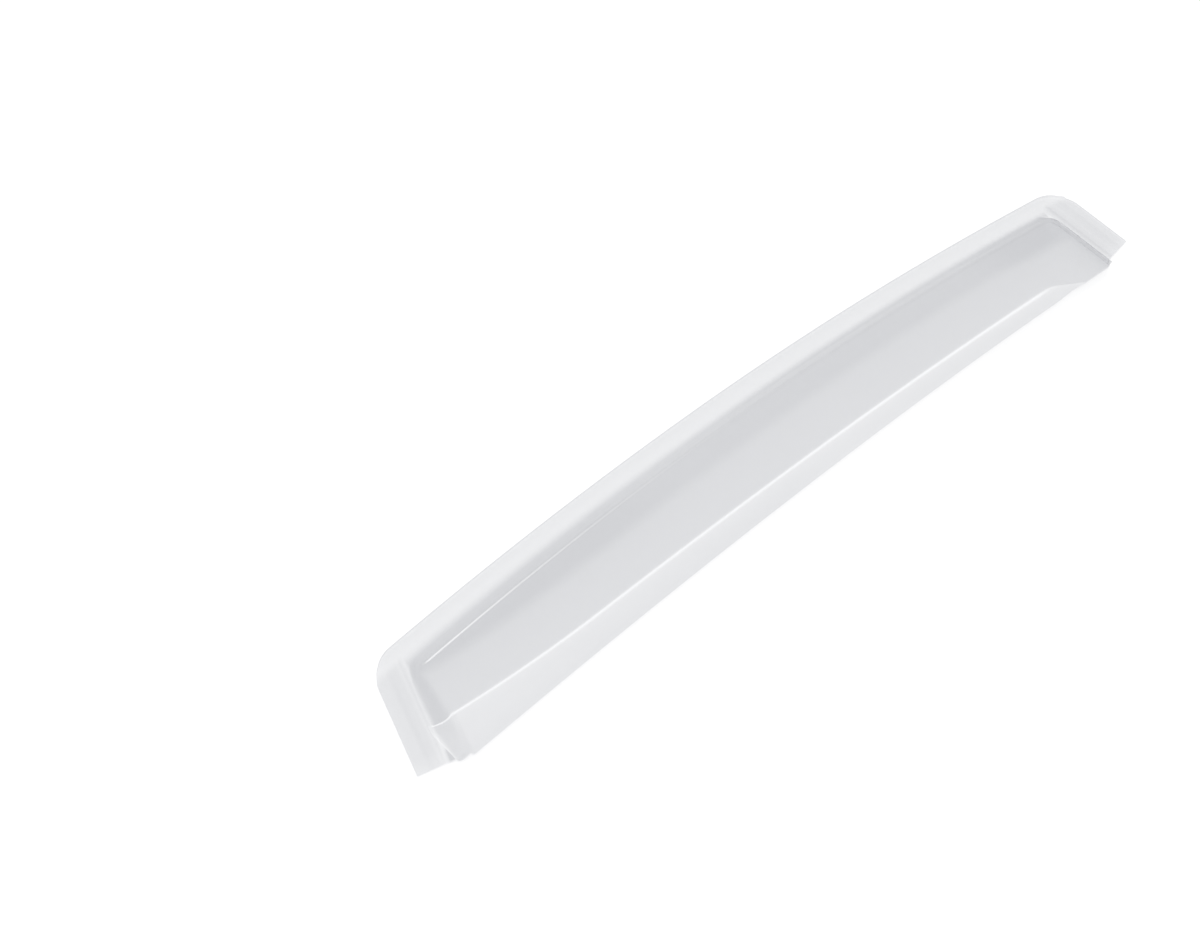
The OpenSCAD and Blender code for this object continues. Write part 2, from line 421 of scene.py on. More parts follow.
        def stepped(d: Values) -> Values:
            """Thickness at a distance from an end edge."""
            tongue = self.tongue_t + (self.ledge_t - self.tongue_t) * step_up(d, self.tongue_w)
            return tongue + (self.sheet_t - self.ledge_t) * step_up(d, self.ledge_w)

        ends = np.minimum(stepped(self.outline.from_front(x, y)), stepped(self.outline.from_rear(x, y)))
        return mix(self.sheet_t, ends, step_up(self.outline.roof_y(x) - y, self.step_top))


@dataclass(frozen=True)
class Stations:
    """Where the columns and rows of the sheet's grid lie."""

    form: Moulding

    # Columns and rows of the long stretches, and how they settle on each other
    long_n: int = 120
    fade_n: int = 44
    panel_n: int = 26
    shelf_n: int = 8
    front_crowd: float = 3.0
    row_gap: float = 4.0
    turns: int = 24
    turn_share: float = 0.6
    rim_hold: float = 1.0

    # Steps across the flange, the walls and the lip
    shoulder_n: int = 5
    tongue_n: int = 3
    ledge_n: int = 5
    roof_n: int = 7
    foot_n: int = 10
    rise_n: int = 4
    head_n: int = 12
    beside_fold: float = 0.16
    on_fold: float = 0.05
    beside_n: int = 4
    fold_n: int = 6
    lip_n: int = 12
    lip_hold: float = 0.96

    def spread(self, *marks: tuple[float, int]) -> Values:
        """Places between marks, each mark with the number of steps that lead up to it.

        Args:
            marks: Place and number of steps, in order.

        Returns:
            The places, with the first mark's and the last's.
        """
        found = [marks[0][0]]
        for (start, _), (end, steps) in zip(marks, marks[1:]):
            found += list(np.linspace(start, end, steps + 1)[1:])
        return np.array(found)

    @property
    def wall_shares(self) -> Values:
        """Shares of a wall's run, from its soft foot to its tight head."""
        foot, head = self.form.foot_soft, self.form.head_soft
        return self.spread(
            (-foot, 0), (foot, self.foot_n), (1 - head, self.rise_n), (1 + head, self.head_n)
        )

    @property
    def flange_steps(self) -> Values:
        """Distances from an end edge across the steps of its flange."""
        f, half = self.form, self.form.shoulder_w / 2
        return self.spread(
            (0, 0), (self.rim_hold, 1),
            (f.tongue_w - half, self.tongue_n), (f.tongue_w + half, self.shoulder_n),
            (f.ledge_w - half, self.ledge_n), (f.ledge_w + half, self.shoulder_n),
        )

    @property
    def roof_steps(self) -> Values:
        """Distances from the roof edge across the roof flange."""
        top, half = self.form.step_top, self.form.shoulder_w / 2
        return self.spread(
            (0, 0), (self.rim_hold, 1), (top - half, self.roof_n), (top + half, self.shoulder_n)
        )

    @property
    def lip_shares(self) -> Values:
        """Shares of the lip's width, from above the crease to the lower edge."""
        out, near = self.beside_fold, self.on_fold
        return self.spread(
            (-out, 0), (-near, self.beside_n), (near, self.fold_n), (out, self.beside_n),
            (self.lip_hold, self.lip_n), (1, 1),
        )

    def columns(self, x: Values, y: Values) -> Values:
        """X of every column at each of its rows.

        Args:
            x: X of the grid so far, one line for each column.
            y: Y of the grid so far.

        Returns:
            The X that each column takes at those heights.
        """
        f, plan = self.form, self.form.outline
        steps, shares = self.flange_steps, self.wall_shares
        lines: list[Values] = []
        n_wall = len(steps) + self.shelf_n
        n_end, n_all = n_wall + len(shares), len(x)

        def end_d(k: int, foot: Values, run: Values) -> Values:
            """Distance of an end column from its end edge, over the steps, the shelf and the wall.

            Args:
                k: The column, counted from the end.
                foot: Distance of the wall's foot.
                run: Width of the wall in plan.

            Returns:
                Distances, one for each row.
            """
            if k < len(steps):
                return np.full_like(run, steps[k])
            if k < n_wall:
                share = (k - len(steps) + 1) / (self.shelf_n + 1)
                return mix(steps[-1], foot - run * f.foot_soft, share)
            return foot + run * shares[k - n_wall]

        def front_col(k: int, i: int) -> Values:
            """X of a column that follows the front end edge, at column i's rows."""
            return plan.front_x(y[i]) + end_d(k, *f.front_wall(x[i], y[i])) / sine(plan.front_lean)

        def rear_col(k: int, i: int) -> Values:
            """X of a column that follows the rear end edge, at column i's rows."""
            run = f.side_run(x[i], y[i], f.rear_wall_slope)
            return plan.rear_x(y[i]) - end_d(k, plan.rear_flange_w, run) / sine(plan.rear_lean)

        turn = plan.sill_len - f.fade_start
        for i in range(n_all):
            if i < n_end:
                lines.append(front_col(i, i))
            elif i >= n_all - n_end:
                lines.append(rear_col(n_all - 1 - i, i))
            else:
                k = i - n_end + 1
                if k <= self.long_n:
                    t = k / self.long_n
                    crowded = (t + self.front_crowd * t * t) / (1 + self.front_crowd)
                    lines.append(mix(front_col(n_end - 1, i), turn, crowded))
                else:
                    lines.append(mix(turn, rear_col(n_end - 1, i), (k - self.long_n) / self.fade_n))
        return np.array(lines)

    def rows(self, x: Values) -> Values:
        """Y of every row at each of its columns, from the roof edge to the lower edge.

        Args:
            x: X of the grid so far, one line for each column.

        Returns:
            The Y that each row takes there.
        """
        f, plan = self.form, self.form.outline
        roof, edge = plan.roof_y(x), plan.edge_y(x)
        crease = np.maximum(f.crease_y(x), edge + self.row_gap)
        head = f.head_y(x) - f.roof_wall_run * f.head_soft
        first_lip = crease - (crease - edge) * self.lip_shares[0]
        n_roof, n_wall = len(self.roof_steps), len(self.wall_shares)
        y = np.empty_like(x)
        for j in range(x.shape[1]):
            if j < n_roof:
                y[:, j] = roof[:, j] - self.roof_steps[j]
            elif j < n_roof + n_wall:
                drop = plan.roof_flange_w + f.roof_wall_run * self.wall_shares[j - n_roof]
                y[:, j] = roof[:, j] - drop
            elif j < n_roof + n_wall + self.panel_n - 1:
                t = (j - n_roof - n_wall + 1) / self.panel_n
                y[:, j] = mix(head[:, j], first_lip[:, j], t)
            else:
                share = self.lip_shares[j - n_roof - n_wall - self.panel_n + 1]
                y[:, j] = crease[:, j] - (crease[:, j] - edge[:, j]) * share
        return y

    def grid(self) -> tuple[Values, Values]:
        """The points of the grid on the design plane, before the corners are rounded.

        Returns:
            X and Y, one line for each column.
        """
        n_end = len(self.flange_steps) + self.shelf_n + len(self.wall_shares)
        n_cols = 2 * n_end + self.long_n + self.fade_n - 1
        n_rows = len(self.roof_steps) + len(self.wall_shares) + self.panel_n - 1 + len(self.lip_shares)
        x = np.linspace(0, self.form.outline.sill_len, n_cols)[:, None].repeat(n_rows, axis=1)
        y = np.full_like(x, self.form.outline.crown_h / 2)
        for _ in range(self.turns):
            x = mix(x, self.columns(x, y), self.turn_share)
            y = self.rows(x)
        return x, y


@dataclass(frozen=True)
class Toning:
    """Painted light and shade: how dark the sheet is painted to look over white paper, and where
    painted highlights lie on its folds.

    Clear plastic shows its form by what it refracts and mirrors. Here that light and shade is painted
    into its tint: the walls are painted darker than the panel, the lip and the flanges lighter, and a
    tight fold gets a painted bright line. Tones run from 0 to 255, and distances are in millimetres on
    the design plane. A name in _soft or _reach is the width of a change.
    """

    form: Moulding
    panel: float = 223.0

    # Roof flange, painted lighter inside its rim: painted light
    roof_rim: float = 232.0
    roof_crest: float = 237.0
    crest_w: float = 10.0

    # Painted shade: a dark band over the roof wall, by its depth from the roof edge
    band_front: float = 212.0
    band_middle: float = 215.0
    band_rear: float = 210.0
    band_at: float = 26.0
    band_lead: float = 14.0
    lead_cut: float = 3.0
    lead_reach: float = 200.0
    middle_x: float = 250.0
    middle_reach: float = 100.0
    rear_x: float = 690.0
    rear_reach: float = 70.0

    # The painted shade band's spread on to the panel, which grows from the front corner
    plateau_w: float = 27.0
    plateau_from: float = 45.0
    plateau_reach: float = 85.0
    plateau_soft: float = 16.0

    # End flanges: painted dark lines past the tongue and near the rear end, painted highlights on the
    # ledge's shoulder and near the rear end, and painted light towards the foot
    tongue: float = 230.0
    ledge: float = 228.0
    ledge_soft: float = 1.5
    shade_line: float = 2.2
    shade_line_at: float = 2.6
    shade_line_w: float = 1.6
    step_highlight: float = 4.0
    step_highlight_w: float = 1.0
    rear_shade_line: float = 9.0
    rear_shade_line_at: float = 25.6
    rear_highlight_at: float = 29.2
    rear_highlight_w: float = 1.2
    foot_lift: float = 4.0
    foot_lift_y: float = -2.0
    foot_lift_reach: float = 14.0
    front_end_w: float = 20.0
    rear_end_w: float = 28.0
    end_soft: float = 4.0
    end_top: float = 11.0
    end_top_soft: float = 6.0

    # Front wall, painted dark: painted shade
    front_wall: float = 211.0
    front_dark_w: float = 5.5
    front_dark_soft: float = 6.0
    foot_out: float = 1.0
    foot_reach: float = 5.0
    head_share: float = 0.75
    head_reach: float = 3.0

    # Rear wall, painted nearly clear (painted light) under a painted dark line along its head (painted
    # shade)
    rear_from: float = 32.0
    rear_soft: float = 3.0
    rear_top_soft: float = 10.0
    rear_wall: float = 250.0
    rear_wall_at: float = 30.6
    rear_wall_soft: float = 1.2
    rear_head_shade: float = 198.0
    rear_head_at: float = 39.8
    rear_head_soft: float = 1.6
    rear_line_at: float = 42.0
    rear_fade: float = 8.0
    rear_fade_power: float = 1.2

    # Lip, painted lighter than the panel (painted light), and the end wall below the crease
    lip_top: float = 238.5
    lip_edge_front: float = 227.5
    lip_edge_rear: float = 231.0
    lip_turn_x: float = 350.0
    lip_turn_reach: float = 100.0
    lip_soft: float = 4.0
    lip_wall: float = 222.0
    lip_wall_soft: float = 3.0
    crease_soft: float = 1.6

    # Painted shadow in the nook under the turned foot, between painted highlights along the seam and the
    # brow
    nook_shadow: float = 208.0
    nook_at: float = 22.5
    nook_soft: float = 2.0
    nook_y: float = -1.0
    nook_reach: float = 6.0
    seam_highlight: float = 6.0
    seam_at: float = 21.4
    seam_lean: float = 0.1
    seam_w: float = 1.1
    brow: float = 12.0
    brow_at: float = 1.0
    brow_w: float = 0.8
    brow_soft: float = 1.5

    # Painted highlights on the folds, along the crease and the front of the roof wall's head
    fold_w: float = 1.05
    fold_start: float = 1.0
    fold_end: float = 712.0
    fold_end_soft: float = 40.0
    head_fold_w: float = 0.55
    head_fold_from: float = 72.0
    head_fold_soft: float = 6.0
    head_fold_x: float = 110.0
    head_fold_len: float = 110.0

    def line(self, d: Values, width: float) -> Values:
        """1 on a line and 0 away from it."""
        return np.exp(-((d / width) ** 2))

    def shade_band(self, x: Values) -> Values:
        """Tone of the painted shade band along the roof wall."""
        tone = mix(self.band_front, self.band_middle, ramp(x, self.middle_x, self.middle_reach))
        return mix(tone, self.band_rear, ramp(x, self.rear_x, self.rear_reach))

    def end_flange(self, fore: Values, aft: Values, y: Values) -> Values:
        """Tone of the stepped flange at either end, with painted dark lines, painted highlights and
        painted light towards its foot.

        Args:
            fore: Distances from the front end.
            aft: Distances from the rear end.
            y: Y of the points.

        Returns:
            Tones.
        """
        form = self.form
        near = np.minimum(fore, aft)
        past_tongue = ramp(near, form.tongue_w - self.ledge_soft / 2, self.ledge_soft)
        tone = mix(self.tongue, self.ledge, past_tongue)
        # painted shade line past the tongue, and painted highlight on the ledge's shoulder
        tone = tone - self.shade_line * self.line(near - form.tongue_w - self.shade_line_at, self.shade_line_w)
        tone = tone + self.step_highlight * self.line(near - form.ledge_w, self.step_highlight_w)
        # painted shade line and painted highlight near the rear end
        deep = np.where(aft < fore, self.line(aft - self.rear_shade_line_at, self.shade_line_w), 0.0)
        rear_highlight = np.where(aft < fore, self.line(aft - self.rear_highlight_at, self.rear_highlight_w), 0.0)
        tone = tone - self.rear_shade_line * deep + self.step_highlight * rear_highlight
        # painted light towards the lower edge
        return tone + self.foot_lift * (1 - ramp(y, self.foot_lift_y, self.foot_lift_reach))

    def flange(self, x: Values, y: Values) -> Values:
        """Tone of the flat flange on all three sides, with painted light inside the roof rim.

        Args:
            x: X of the points.
            y: Y of the points.

        Returns:
            Tones.
        """
        plan = self.form.outline
        drop = plan.roof_y(x) - y
        fore, aft = plan.from_front(x, y), plan.from_rear(x, y)
        # painted light: the roof flange lighter inside its rim
        crest = mix(self.roof_rim, self.roof_crest, ramp(drop, 0, self.crest_w))
        at_front = 1 - ramp(fore, self.front_end_w, self.end_soft)
        at_rear = 1 - ramp(aft, self.rear_end_w, self.end_soft)
        at_end = np.maximum(at_front, at_rear) * ramp(drop, self.end_top, self.end_top_soft)
        return mix(crest, self.end_flange(fore, aft, y), at_end)

    def above_crease(self, x: Values, y: Values) -> Values:
        """Tone of the sheet above the lower crease, from the flange over the walls to the panel, with
        painted shade over the walls.

        Args:
            x: X of the points.
            y: Y of the points.

        Returns:
            Tones.
        """
        form, plan = self.form, self.form.outline
        drop = plan.roof_y(x) - y
        fore, aft = plan.from_front(x, y), plan.from_rear(x, y)
        foot, run = form.front_wall(x, y)
        from_foot = fore - foot
        past_rear = ramp(aft, self.rear_from, self.rear_soft)
        start = self.band_at - self.band_lead + self.lead_cut * ramp(x, self.middle_x, self.lead_reach)
        inside = np.minimum(ramp(drop, start, self.band_at - start), past_rear)
        inside = np.minimum(inside, ramp(from_foot, -self.foot_out, self.foot_reach))
        # painted shade: the front wall darker near its foot
        at_front = 1 - ramp(from_foot, self.front_dark_w, self.front_dark_soft)
        # painted shade: the dark band over the roof wall and the dark front wall
        tone = mix(self.flange(x, y), mix(self.shade_band(x), self.front_wall, at_front), inside)
        # painted shade: the band's spread on to the panel
        grown = 1 - np.exp(-np.maximum(0, x - self.plateau_from) / self.plateau_reach)
        past_head = form.head_y(x) - y - self.plateau_w * grown
        clear = np.minimum(ramp(past_head, -self.plateau_soft / 2, self.plateau_soft), past_rear)
        clear = np.minimum(clear, ramp(from_foot, self.head_share * run, self.head_reach))
        return self.rear_end(mix(tone, self.panel, clear), drop, aft)

    def rear_end(self, tone: Values, drop: Values, aft: Values) -> Values:
        """Tones with the rear wall painted nearly clear, and a painted dark line that fades from its
        head.

        Args:
            tone: Tones so far.
            drop: Distances from the roof edge.
            aft: Distances from the rear end.

        Returns:
            The changed tones.
        """
        at_rear = ramp(drop, self.form.outline.roof_flange_w, self.rear_top_soft)
        past_head = ramp(aft, self.rear_head_at, self.rear_head_soft)
        on_wall = ramp(aft, self.rear_wall_at, self.rear_wall_soft) * (1 - past_head)
        # painted light: the rear wall nearly clear
        tone = mix(tone, self.rear_wall, at_rear * on_wall)
        # painted shade: a dark line that fades from the rear wall's head
        from_line = np.maximum(0, aft - self.rear_line_at) / self.rear_fade
        dimmed = np.exp(-(from_line ** self.rear_fade_power)) * past_head * at_rear
        return mix(tone, np.minimum(tone, self.rear_head_shade), dimmed)

    def under_crease(self, x: Values, y: Values) -> Values:
        """Tone of the lip and of the end wall below it, with a painted shadow in the nook and painted
        highlights along the seam and the brow.

        Args:
            x: X of the points.
            y: Y of the points.

        Returns:
            Tones.
        """
        form = self.form
        fore = form.outline.from_front(x, y)
        foot, run = form.front_wall(x, y)
        share = clamp01((form.crease_y(x) - y) / (form.lip_w(x) + form.flare(x)))
        edge = mix(self.lip_edge_front, self.lip_edge_rear, ramp(x, self.lip_turn_x, self.lip_turn_reach))
        on_wall = ramp(fore - foot, -self.foot_out, self.lip_wall_soft)
        tone = mix(self.flange(x, y), self.lip_wall, on_wall)
        on_lip = ramp(fore - foot, self.head_share * run, self.lip_soft)
        # painted light: the lip lighter than the panel
        tone = mix(tone, mix(self.lip_top, edge, share), on_lip)
        brow = foot - form.foot_soft * run
        # painted shadow in the nook under the turned foot
        in_nook = ramp(fore, self.nook_at, self.nook_soft) * (1 - ramp(fore, brow, self.brow_soft))
        tone = mix(tone, self.nook_shadow, in_nook * (1 - ramp(y, self.nook_y, self.nook_reach)))
        # painted highlights along the seam and the brow
        seam_highlight_line = self.line(fore - self.seam_at - self.seam_lean * y, self.seam_w)
        brow_highlight_line = self.line(fore - brow - self.brow_at, self.brow_w)
        return tone + self.seam_highlight * seam_highlight_line + self.brow * brow_highlight_line

    def tone(self, x: Values, y: Values) -> Values:
        """Painted tone of the sheet at each point, its painted light and shade, without the painted
        highlights on its folds.
        """
        below = ramp(self.form.crease_y(x) - y, -self.crease_soft / 2, self.crease_soft)
        return mix(self.above_crease(x, y), self.under_crease(x, y), below)

    def fold_highlight(self, x: Values, y: Values) -> Values:
        """How strongly each point carries the painted highlight of a tight fold.

        Args:
            x: X of the points.
            y: Y of the points.

        Returns:
            Shares from 0 to 1.
        """
        form, plan = self.form, self.form.outline
        on_visor = ramp(plan.from_front(x, y), plan.front_flange_w - self.fold_start, self.fold_start)
        faded = ramp(x, self.fold_end - self.fold_end_soft / 2, self.fold_end_soft)
        # painted highlight along the crease
        crease = self.line(form.crease_y(x) - y, self.fold_w) * on_visor * (1 - faded)
        along = np.maximum(0, x - self.head_fold_x) / self.head_fold_len
        head = self.line(form.head_y(x) - y, self.head_fold_w) * np.exp(-along)
        return np.maximum(crease, head * ramp(x, self.head_fold_from, self.head_fold_soft))


@dataclass(frozen=True)
class ClearAcrylic:
    """Polished clear sheet with a faint blue-grey tint.

    The outer skin carries the tint of the whole thickness, and painted light and shade with it. Its
    depth comes from a sheet attribute that gives the share of light let through, painted shade
    included, and a fold attribute paints a highlight on a tight fold.
    """

    # Colour that passes the sheet, where it is clear and where it lets deep_share of the light through;
    # the deep end also colours the painted shade
    deep: Colour = (0.59, 0.596, 0.618, 1)
    clear: Colour = (0.9965, 0.998, 1.0, 1)
    deep_share: float = 0.6

    # Mirrored light, its colour and its share; the fold values paint a highlight on the folds
    dull_light: Colour = (0.8, 0.8, 0.8, 1)
    fold_light: Colour = (0.97, 0.98, 1.0, 1)
    mirror: float = 0.04
    fold_mirror: float = 0.75
    fold_through: float = 1.0
    glance_mirror: float = 0.3
    glance_power: float = 5.0
    roughness: tuple[float, float] = (0.03, 0.09)
    wave_scale: float = 9.0

    # White paper under the sheet: what it shows by itself, and what the light let through adds
    paper_glow: float = 0.53
    paper_light: float = 0.482

    def through_with_shade(self, tone: Values, fold_highlight: Values) -> Values:
        """Share of light that the sheet lets through where it has a painted tone over white paper, its
        painted light and shade included.

        Args:
            tone: Tones from 0 to 255.
            fold_highlight: How strongly each point carries a fold's painted highlight.

        Returns:
            Shares from 0 to 1.
        """
        paper = (light_level(tone) - 2 * self.mirror) / (1 - self.mirror) ** 2
        share = (-self.paper_glow + np.sqrt(self.paper_glow ** 2 + 4 * self.paper_light * paper)) / 2
        # a fold's painted highlight clears the tint
        return mix(clamp01(share / self.paper_light), self.fold_through, fold_highlight)

    def layer(self, tree: bpy.types.NodeTree, name: str) -> bpy.types.NodeSocket:
        """One of the sheet's own attributes.

        Args:
            tree: The material's nodes.
            name: The attribute.

        Returns:
            The socket that gives it.
        """
        layer = tree.nodes.new("ShaderNodeAttribute")
        layer.attribute_name = name
        return layer.outputs["Fac"]

    def blend(
        self, tree: bpy.types.NodeTree, share: bpy.types.NodeSocket, low: Colour, high: Colour
    ) -> bpy.types.NodeSocket:
        """A colour between two others.

        Args:
            tree: The material's nodes.
            share: How far from the first to the second.
            low: The first colour.
            high: The second colour.

        Returns:
            The socket that gives it.
        """
        between = tree.nodes.new("ShaderNodeMix")
        between.data_type = "RGBA"
        between.inputs[MIX_FROM].default_value = low
        between.inputs[MIX_TO].default_value = high
        tree.links.new(share, between.inputs["Factor"])
        return between.outputs[MIXED]

    def tint_and_shade(self, tree: bpy.types.NodeTree) -> bpy.types.NodeSocket:
        """The colour that passes the sheet, with its painted shade, bluer where it is darker.

        Args:
            tree: The material's nodes.

        Returns:
            The socket that gives it.
        """
        share = tree.nodes.new("ShaderNodeMapRange")
        share.inputs["From Min"].default_value = self.deep_share
        tree.links.new(self.layer(tree, "through_with_shade"), share.inputs["Value"])
        return self.blend(tree, share.outputs["Result"], self.deep, self.clear)

    def sheen(self, tree: bpy.types.NodeTree) -> bpy.types.NodeSocket:
        """Share of the light that a skin mirrors: little square on, most at a glance, and raised on a
        fold as a painted highlight.

        Args:
            tree: The material's nodes.

        Returns:
            The socket that gives it.
        """
        facing = tree.nodes.new("ShaderNodeLayerWeight")
        power = tree.nodes.new("ShaderNodeMath")
        power.operation = "POWER"
        tree.links.new(facing.outputs["Facing"], power.inputs[0])
        power.inputs[1].default_value = self.glance_power
        # the fold attribute raises the mirror share: a painted highlight
        lift = tree.nodes.new("ShaderNodeMath")
        lift.operation = "MULTIPLY_ADD"
        tree.links.new(self.layer(tree, "fold_highlight"), lift.inputs[0])
        lift.inputs[1].default_value = self.fold_mirror
        lift.inputs[2].default_value = self.mirror
        share = tree.nodes.new("ShaderNodeMapRange")
        tree.links.new(power.outputs[0], share.inputs["Value"])
        tree.links.new(lift.outputs[0], share.inputs["To Min"])
        share.inputs["To Max"].default_value = self.glance_mirror
        return share.outputs["Result"]

    def glint(self, tree: bpy.types.NodeTree) -> bpy.types.NodeSocket:
        """The colour that a skin mirrors, brightest on a fold as a painted highlight."""
        return self.blend(tree, self.layer(tree, "fold_highlight"), self.dull_light, self.fold_light)

    def build(self) -> bpy.types.Material:
        """The finish as a material.

        Returns:
            The material, ready for a slot.
        """
        material = bpy.data.materials.new("clear_acrylic")
        material.use_nodes = True
        tree = material.node_tree
        tree.nodes.clear()
        clear = tree.nodes.new("ShaderNodeBsdfTransparent")
        tree.links.new(self.tint_and_shade(tree), clear.inputs["Color"])
        gloss = tree.nodes.new("ShaderNodeBsdfGlossy")
        tree.links.new(self.glint(tree), gloss.inputs["Color"])
        where = tree.nodes.new("ShaderNodeTexCoord")
        wave = tree.nodes.new("ShaderNodeTexNoise")
        wave.inputs["Scale"].default_value = self.wave_scale
        tree.links.new(where.outputs["Object"], wave.inputs["Vector"])
        spread = tree.nodes.new("ShaderNodeMapRange")
        spread.inputs["To Min"].default_value = self.roughness[0]
        spread.inputs["To Max"].default_value = self.roughness[1]
        tree.links.new(wave.outputs["Fac"], spread.inputs["Value"])
        tree.links.new(spread.outputs["Result"], gloss.inputs["Roughness"])
        whole = tree.nodes.new("ShaderNodeMixShader")
        tree.links.new(self.sheen(tree), whole.inputs["Fac"])
        tree.links.new(clear.outputs[0], whole.inputs[1])
        tree.links.new(gloss.outputs[0], whole.inputs[2])
        out = tree.nodes.new("ShaderNodeOutputMaterial")
        tree.links.new(whole.outputs[0], out.inputs["Surface"])
        return material


@dataclass
class Deflector:
    """The moulded sheet: laid out on a grid, given its thickness, and rounded along its rim."""

    form: Moulding = field(default_factory=Moulding)
    finish: ClearAcrylic = field(default_factory=ClearAcrylic)
    rim_out: float = 0.35
    rim_round: float = 0.55
    rim_facets: int = 3
    rim_turn: float = 60.0
    part_centre: tuple[float, float] = (423.889, 47.3269)
    name: str = "deflector_sheet"
    weights: str = "thickness"

    def widened(self, x: Values, y: Values) -> tuple[Values, Values]:
        """The grid with its border moved out, so that the rounded rim ends where it should.

        Args:
            x: X of the grid.
            y: Y of the grid.

        Returns:
            The X and the Y of the widened grid.
        """
        wide_x, wide_y = x.copy(), y.copy()
        for edge, inner in (
            (np.s_[0, :], np.s_[1, :]), (np.s_[-1, :], np.s_[-2, :]),
            (np.s_[:, 0], np.s_[:, 1]), (np.s_[:, -1], np.s_[:, -2]),
        ):
            out_x, out_y = x[edge] - x[inner], y[edge] - y[inner]
            reach = self.rim_out / np.hypot(out_x, out_y)
            wide_x[edge] += out_x * reach
            wide_y[edge] += out_y * reach
        return wide_x, wide_y

    def outer_first(self, piece: bpy.types.Object, count: int) -> slice:
        """Which half of the doubled points is the outer skin.

        Args:
            piece: The sheet, with its thickness applied.
            count: Points of one skin.

        Returns:
            The outer skin's place among the points.
        """
        z = np.empty(len(piece.data.vertices) * 3)
        piece.data.vertices.foreach_get("co", z)
        z = z[2::3]
        return slice(0, count) if z[:count].mean() > z[count:].mean() else slice(count, 2 * count)

    def tone_layers(self, piece: bpy.types.Object, x: Values, y: Values) -> None:
        """Writes what the outer skin lets through, painted light and shade included, and the painted
        highlights on its folds, as attributes.

        Args:
            piece: The sheet, with its thickness applied.
            x: X of the grid's points, in the order of the sheet's.
            y: Y of the grid's points.
        """
        toning = Toning(self.form)
        fold_highlight = toning.fold_highlight(x, y)
        through_with_shade = self.finish.through_with_shade(toning.tone(x, y), fold_highlight)
        outer = self.outer_first(piece, len(x))
        # the outer skin's attributes carry the painted light and shade and the painted fold highlights
        for name, plain, values in (("through_with_shade", 1.0, through_with_shade), ("fold_highlight", 0.0, fold_highlight)):
            layer = piece.data.attributes.new(name, "FLOAT", "POINT")
            whole = np.full(len(layer.data), plain, dtype=np.float32)
            whole[outer] = values
            layer.data.foreach_set("value", whole)

    def laid_out(self) -> tuple[bpy.types.Object, Values, Values]:
        """Lays the back skin out on a grid, with the thickness that it will get as weights.

        Returns:
            The piece, and the X and the Y of its points on the design plane.
        """
        form = self.form
        x, y = form.outline.rounded(*Stations(form).grid())
        z = form.back_h(x, y)
        weight = form.thickness(x, y) / form.sheet_t
        wide_x, wide_y = self.widened(x, y)
        n_cols, n_rows = x.shape
        bpy.ops.object.select_all(action="DESELECT")
        bpy.ops.mesh.primitive_grid_add(x_subdivisions=n_cols - 1, y_subdivisions=n_rows - 1, size=1)
        piece = bpy.context.object
        piece.name = piece.data.name = self.name
        found = np.empty(len(piece.data.vertices) * 3)
        piece.data.vertices.foreach_get("co", found)
        found = found.reshape(-1, 3) + 0.5
        i = np.rint(found[:, 0] * (n_cols - 1)).astype(int)
        j = n_rows - 1 - np.rint(found[:, 1] * (n_rows - 1)).astype(int)
        mid_x, mid_y = self.part_centre
        laid = np.column_stack([wide_x[i, j] - mid_x, wide_y[i, j] - mid_y, z[i, j]]) * METRE
        piece.data.vertices.foreach_set("co", laid.ravel())
        group = piece.vertex_groups.new(name=self.weights)
        for n, share in enumerate(weight[i, j]):
            group.add([n], float(share), "REPLACE")
        return piece, x[i, j], y[i, j]

    def thicken(self, piece: bpy.types.Object) -> None:
        """Gives the sheet its thickness, thinner at the tongues and ledges.

        Args:
            piece: The sheet's back skin.
        """
        solid = piece.modifiers.new("sheet", "SOLIDIFY")
        solid.thickness = self.form.sheet_t * METRE
        solid.offset = 1
        solid.vertex_group = self.weights
        solid.use_quality_normals = True
        bpy.ops.object.modifier_apply(modifier=solid.name)

    def round_rim(self, piece: bpy.types.Object) -> None:
        """Rounds both edges of the rim.

        Args:
            piece: The sheet.
        """
        rim = piece.modifiers.new("rim", "BEVEL")
        rim.limit_method = "ANGLE"
        rim.angle_limit = math.radians(self.rim_turn)
        rim.width = self.rim_round * METRE
        rim.segments = self.rim_facets
        bpy.ops.object.modifier_apply(modifier=rim.name)

    def build(self) -> bpy.types.Object:
        """Makes the sheet.

        Returns:
            The finished piece.
        """
        piece, x, y = self.laid_out()
        self.thicken(piece)
        self.tone_layers(piece, x, y)
        self.round_rim(piece)
        bpy.ops.object.shade_smooth()
        piece.data.materials.clear()
        piece.data.materials.append(self.finish.build())
        log.info("%s: %d faces", piece.name, len(piece.data.polygons))
        return piece


@dataclass(frozen=True)
class SoftLamp:
    """Where a square lamp hangs, its side in metres and its power in watts."""

    place: Place
    side: float
    watts: float


class Lamp(Enum):
    """The studio's soft lamps, which all face the part."""

    OVERHEAD = SoftLamp(place=(-0.6, -0.5, 2.6), side=2.4, watts=16.0)
    SIDE = SoftLamp(place=(-2.2, 1.4, 1.6), side=1.6, watts=5.0)


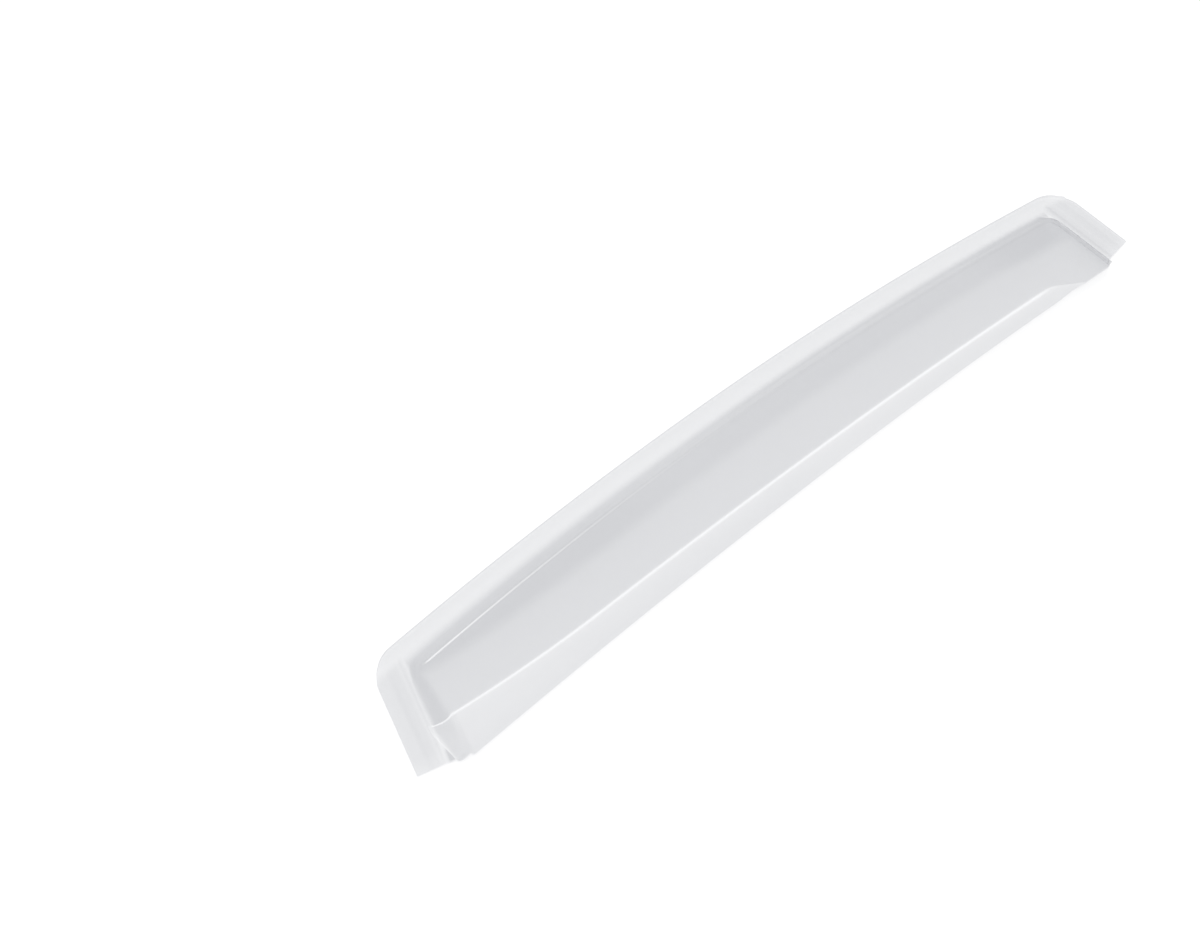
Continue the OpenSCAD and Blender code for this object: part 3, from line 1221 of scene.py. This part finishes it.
@dataclass(frozen=True)
class Studio:
    """Pale floor, plain soft light and the camera."""

    eye: Place = (-1.40527, -1.06402, 1.35753)
    right: Place = (0.65885, -0.75228, 0.0)
    up: Place = (0.46315, 0.40563, 0.78801)
    lens_mm: float = 90.0
    sensor_mm: float = 36.0
    floor_side: float = 14.0
    floor_drop: float = 0.0003
    floor_colour: Colour = (0.6, 0.6, 0.6, 1)
    floor_lift: float = 0.53
    world_level: float = 0.75

    def camera(self) -> bpy.types.Object:
        """The camera at the photograph's viewing angle.

        Returns:
            The camera.
        """
        data = bpy.data.cameras.new("camera")
        data.lens = self.lens_mm
        data.sensor_width = self.sensor_mm
        data.sensor_fit = "HORIZONTAL"
        eye = bpy.data.objects.new("camera", data)
        right, up = Vector(self.right).normalized(), Vector(self.up).normalized()
        turn = Matrix((right, up, right.cross(up))).transposed()
        eye.matrix_world = Matrix.Translation(self.eye) @ turn.to_4x4()
        bpy.context.scene.collection.objects.link(eye)
        bpy.context.scene.camera = eye
        return eye

    def seen(self, tree: bpy.types.NodeTree) -> bpy.types.NodeSocket:
        """1 for the camera and for what gloss and clear plastic show of the background.

        Args:
            tree: The nodes of a material or the world.

        Returns:
            The socket that gives it.
        """
        rays = tree.nodes.new("ShaderNodeLightPath")
        total = rays.outputs["Is Camera Ray"]
        for name in ("Is Glossy Ray", "Is Transmission Ray"):
            most = tree.nodes.new("ShaderNodeMath")
            most.operation = "MAXIMUM"
            tree.links.new(total, most.inputs[0])
            tree.links.new(rays.outputs[name], most.inputs[1])
            total = most.outputs[0]
        return total

    def floor(self) -> bpy.types.Object:
        """The pale floor, which keeps the object's shadow.

        Returns:
            The floor.
        """
        bpy.ops.object.select_all(action="DESELECT")
        bpy.ops.mesh.primitive_plane_add(size=self.floor_side, location=(0, 0, -self.floor_drop))
        floor = bpy.context.object
        floor.name = "floor"
        bpy.ops.object.transform_apply(location=True)
        material = bpy.data.materials.new("floor_paper")
        material.use_nodes = True
        tree = material.node_tree
        shader = tree.nodes["Principled BSDF"]
        shader.inputs["Base Color"].default_value = self.floor_colour
        shader.inputs["Roughness"].default_value = 1.0
        shader.inputs["Specular IOR Level"].default_value = 0.0
        shader.inputs["Emission Color"].default_value = (1, 1, 1, 1)
        lift = tree.nodes.new("ShaderNodeMath")
        lift.operation = "MULTIPLY"
        tree.links.new(self.seen(tree), lift.inputs[0])
        lift.inputs[1].default_value = self.floor_lift
        tree.links.new(lift.outputs[0], shader.inputs["Emission Strength"])
        floor.data.materials.append(material)
        return floor

    def world(self) -> None:
        """Even light from all round, white where it is seen."""
        world = bpy.data.worlds.new("studio")
        bpy.context.scene.world = world
        world.use_nodes = True
        tree = world.node_tree
        back = tree.nodes["Background"]
        level = tree.nodes.new("ShaderNodeMix")
        tree.links.new(self.seen(tree), level.inputs["Factor"])
        level.inputs["A"].default_value = self.world_level
        level.inputs["B"].default_value = 1.0
        tree.links.new(level.outputs[0], back.inputs["Strength"])
        back.inputs["Color"].default_value = (1, 1, 1, 1)

    def lamp(self, kind: Lamp) -> bpy.types.Object:
        """One soft area lamp.

        Args:
            kind: Which lamp.

        Returns:
            The lamp.
        """
        data = bpy.data.lights.new(kind.name.lower(), "AREA")
        data.shape = "SQUARE"
        data.size = kind.value.side
        data.energy = kind.value.watts
        lamp = bpy.data.objects.new(kind.name.lower(), data)
        turn = (-Vector(kind.value.place)).to_track_quat("-Z", "Y").to_matrix().to_4x4()
        lamp.matrix_world = Matrix.Translation(kind.value.place) @ turn
        bpy.context.scene.collection.objects.link(lamp)
        return lamp

    def build(self) -> None:
        """Sets up the whole studio."""
        bpy.context.scene.view_settings.view_transform = "Standard"
        self.camera()
        self.floor()
        self.world()
        for kind in Lamp:
            self.lamp(kind)


def main() -> None:
    """Builds the studio and the deflector, and hands the piece to the frame."""
    logging.basicConfig(level=logging.INFO, format="%(message)s")
    Studio().build()
    sheet = Deflector().build()
    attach(sheet, "root")
    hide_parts("deflector")


if __name__ == "__main__":
    main()
